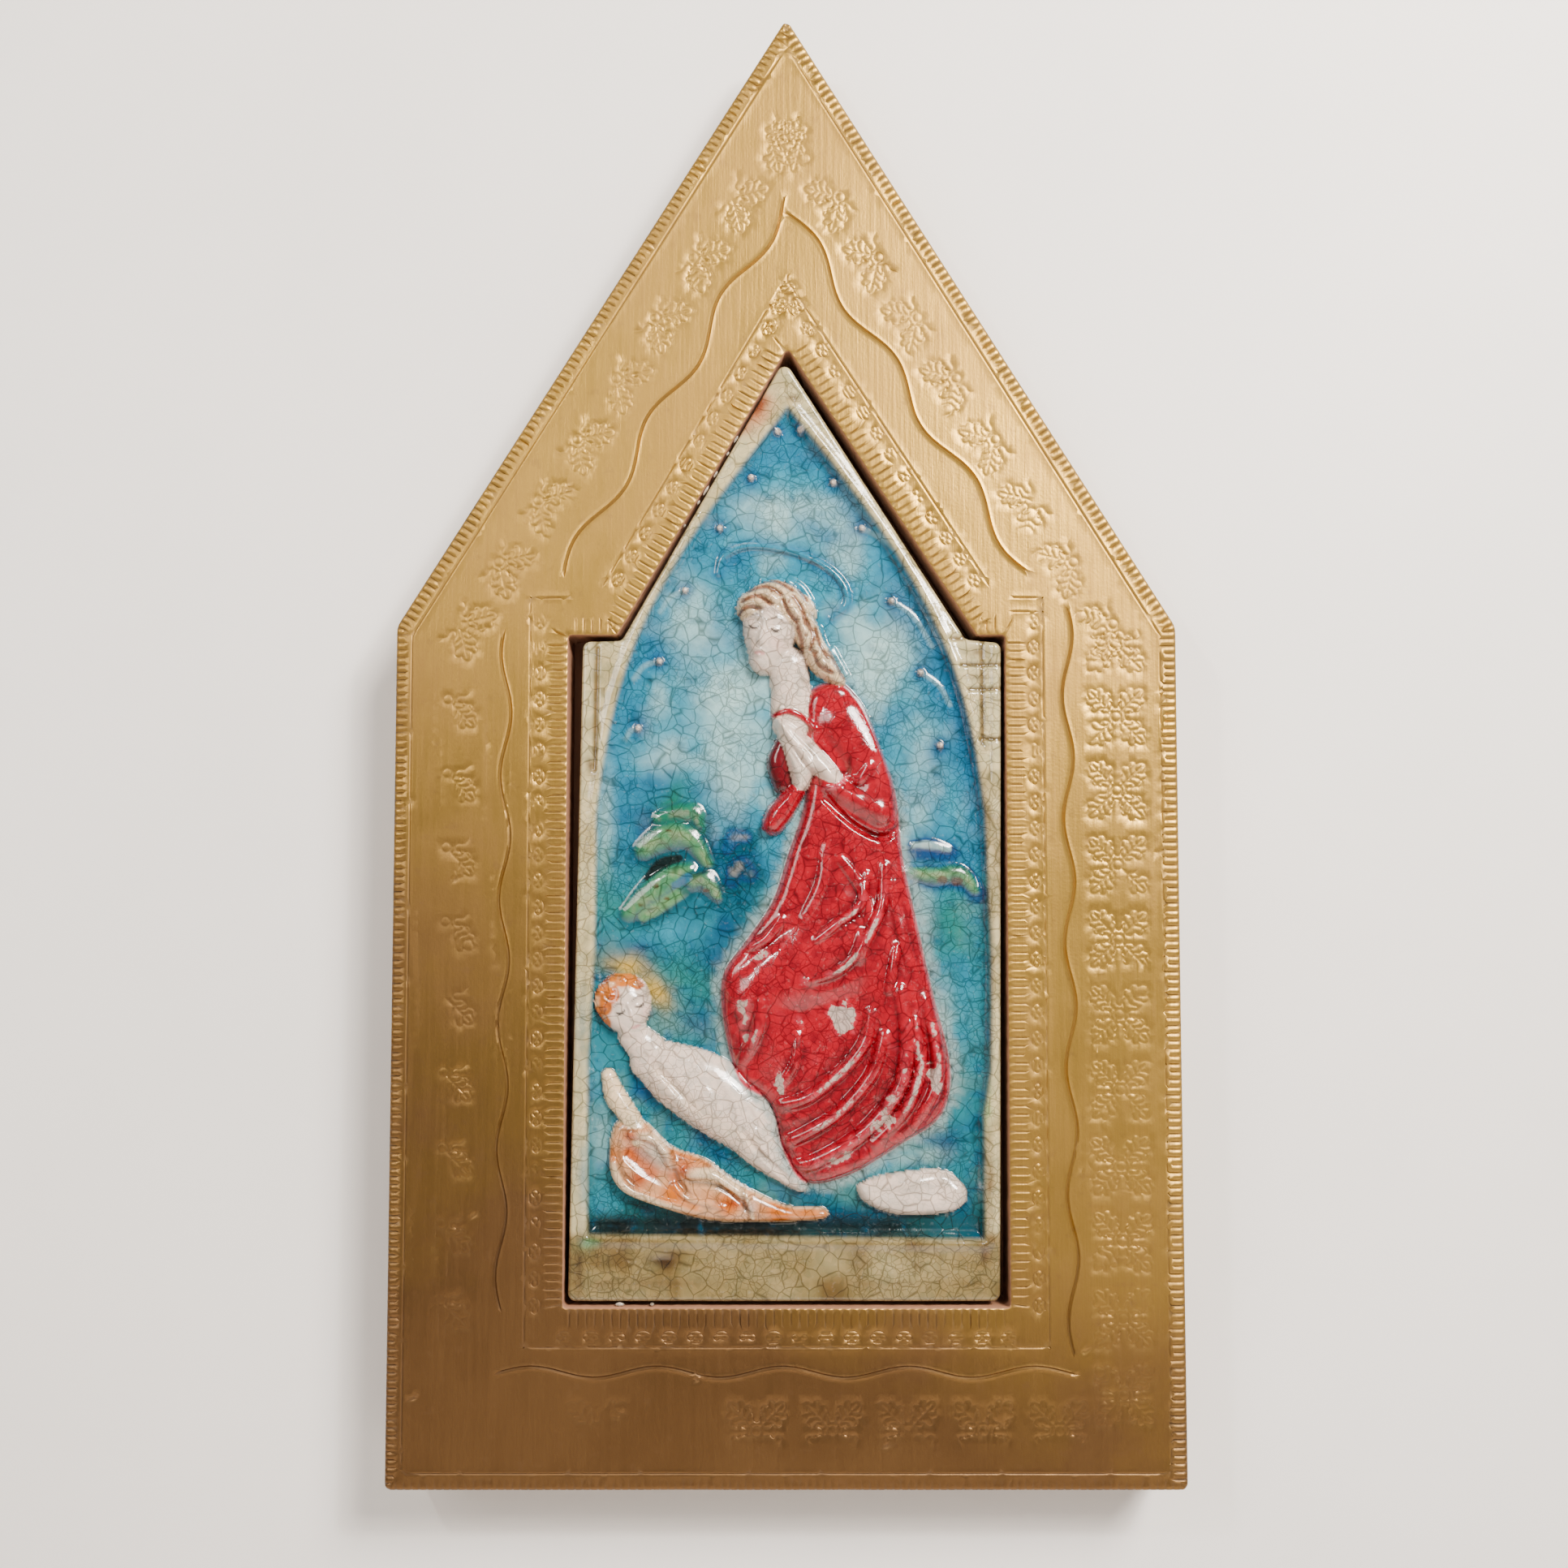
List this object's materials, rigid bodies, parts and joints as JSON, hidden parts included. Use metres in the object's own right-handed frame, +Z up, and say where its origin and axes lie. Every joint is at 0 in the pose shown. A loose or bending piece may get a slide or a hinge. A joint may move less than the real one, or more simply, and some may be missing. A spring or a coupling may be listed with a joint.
{
  "type": "decorative_wall_plaque",
  "caption": "Wall plaque: gilt wooden board with a pointed gable and tooled borders, holding a glazed ceramic relief tile of a kneeling figure and a lying child",
  "frame": {"origin": "On the flat back, in the middle of the board's width and height, where the plaque meets the wall", "axes": "+Z up along the board's height, +X to the viewer's right, +Y into the wall, so the picture faces -Y"},
  "size_m": [0.178, 0.0226, 0.3349],
  "materials": {
    "gilt_wood": "worn gold paint over tooled wood",
    "glazed_ceramic": "crackled coloured glaze over cream clay"
  },
  "bodies": {
    "root": {"frame": "gilt_wood", "tile": "glazed_ceramic"}
  },
  "joints": []
}
